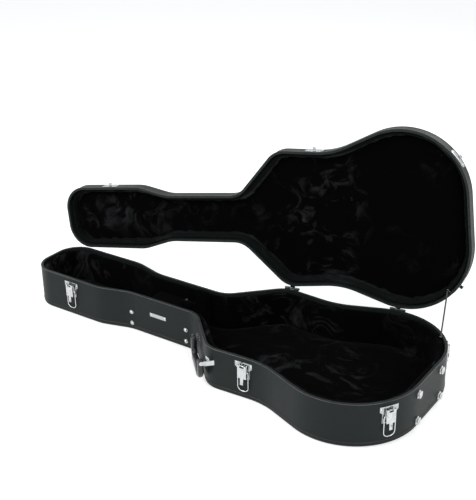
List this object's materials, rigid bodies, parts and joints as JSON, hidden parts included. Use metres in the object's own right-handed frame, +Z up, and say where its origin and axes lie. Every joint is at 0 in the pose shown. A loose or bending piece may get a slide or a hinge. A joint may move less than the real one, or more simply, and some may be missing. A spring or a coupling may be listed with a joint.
{
  "type": "guitar case",
  "caption": "Hard guitar case lying open: padded shell and lid on hinges, draw latches with wire loops, side handle, neck rest and covered accessory compartment.",
  "frame": {"origin": "middle of the case's length and width, on the underside of the base, where the case rests on the floor", "axes": "+X along the case towards the wide lower bout, -Y towards the handle side, +Y towards the hinges, +Z up"},
  "size_m": [1.1362, 0.531, 0.5402],
  "materials": {
    "shell_covering": "grained black vinyl over plywood",
    "plush_lining": "crushed black plush",
    "ribbon": "woven ribbon",
    "handle_plastic": "satin moulded",
    "stay_cord": "braided cord",
    "plated_steel": "bright plated"
  },
  "bodies": {
    "case_base": {"base_panel": "shell_covering", "base_wall": "shell_covering", "base_wall_padding": "plush_lining", "base_floor_padding": "plush_lining", "neck_support": "plush_lining", "compartment_front_board": "plush_lining", "compartment_rear_board": "plush_lining", "base_hinge_leaf_1": "plated_steel", "base_hinge_leaf_2": "plated_steel", "hinge_pin_1": "plated_steel", "hinge_pin_2": "plated_steel", "base_hinge_rivets": "plated_steel", "latch_plate_1": "plated_steel", "latch_plate_2": "plated_steel", "latch_plate_3": "plated_steel", "latch_plate_4": "plated_steel", "lever_pin_1": "plated_steel", "lever_pin_2": "plated_steel", "lever_pin_3": "plated_steel", "lever_pin_4": "plated_steel", "latch_rivets": "plated_steel", "end_feet": "plated_steel", "neck_studs": "plated_steel", "name_plate": "plated_steel", "plate_rivets": "plated_steel", "handle_bracket_1": "plated_steel", "handle_bracket_2": "plated_steel", "handle_rivets": "plated_steel", "base_stay_boss": "plated_steel", "lid_stay": "stay_cord"},
    "case_lid": {"lid_panel": "shell_covering", "lid_wall": "shell_covering", "lid_wall_padding": "plush_lining", "lid_panel_padding": "plush_lining", "lid_hinge_leaf_1": "plated_steel", "lid_hinge_leaf_2": "plated_steel", "lid_hinge_rivets": "plated_steel", "lid_catch_1": "plated_steel", "lid_catch_2": "plated_steel", "lid_catch_3": "plated_steel", "lid_catch_4": "plated_steel", "catch_rivets": "plated_steel", "lid_stay_boss": "plated_steel"},
    "carry_handle": {"handle_strap": "handle_plastic", "handle_grip": "handle_plastic"},
    "compartment_cover": {"compartment_lid": "plush_lining", "compartment_tab": "ribbon"},
    "lever_1": {"latch_lever_1": "plated_steel"},
    "loop_1": {"latch_loop_1": "plated_steel"},
    "lever_2": {"latch_lever_2": "plated_steel"},
    "loop_2": {"latch_loop_2": "plated_steel"},
    "lever_3": {"latch_lever_3": "plated_steel"},
    "loop_3": {"latch_loop_3": "plated_steel"},
    "lever_4": {"latch_lever_4": "plated_steel"},
    "loop_4": {"latch_loop_4": "plated_steel"}
  },
  "joints": [
    {"name": "lid_swing", "type": "hinge", "parent": "case_base", "child": "case_lid", "pos_m": [0.36907, 0.21908, 0.106], "axis": [-0.9882, -0.153, 0], "range_deg": [-96, 0], "deforming": ["lid_stay"]},
    {"name": "handle_swing", "type": "hinge", "parent": "case_base", "child": "carry_handle", "pos_m": [0.03954, -0.14703, 0.07], "axis": [-0.7038, 0.7104, 0], "range_deg": [-5, 170]},
    {"name": "compartment_swing", "type": "hinge", "parent": "case_base", "child": "compartment_cover", "pos_m": [-0.2152, 0, 0.07], "axis": [0, -1, 0], "range_deg": [0, 100]},
    {"name": "lever_swing_1", "type": "hinge", "parent": "case_base", "child": "lever_1", "pos_m": [-0.4104, -0.0905, 0.088], "axis": [-1, 0, 0], "range_deg": [0, 125]},
    {"name": "lever_swing_2", "type": "hinge", "parent": "case_base", "child": "lever_2", "pos_m": [0.18458, -0.17422, 0.088], "axis": [-0.9983, -0.058, 0], "range_deg": [0, 125]},
    {"name": "lever_swing_3", "type": "hinge", "parent": "case_base", "child": "lever_3", "pos_m": [0.53341, -0.1472, 0.088], "axis": [-0.5389, -0.8423, 0], "range_deg": [0, 125]},
    {"name": "lever_swing_4", "type": "hinge", "parent": "case_base", "child": "lever_4", "pos_m": [0.52277, 0.16197, 0.088], "axis": [0.6282, -0.778, 0], "range_deg": [0, 125]},
    {"name": "loop_swing_1", "type": "hinge", "parent": "lever_1", "child": "loop_1", "pos_m": [-0.4104, -0.0882, 0.073], "axis": [1, 0, 0], "range_deg": [-178, 0]},
    {"name": "loop_swing_2", "type": "hinge", "parent": "lever_2", "child": "loop_2", "pos_m": [0.18445, -0.17192, 0.073], "axis": [0.9983, 0.058, 0], "range_deg": [-178, 0]},
    {"name": "loop_swing_3", "type": "hinge", "parent": "lever_3", "child": "loop_3", "pos_m": [0.53147, -0.14596, 0.073], "axis": [0.5389, 0.8423, 0], "range_deg": [-178, 0]},
    {"name": "loop_swing_4", "type": "hinge", "parent": "lever_4", "child": "loop_4", "pos_m": [0.52098, 0.16052, 0.073], "axis": [-0.6282, 0.778, 0], "range_deg": [-178, 0]}
  ]
}
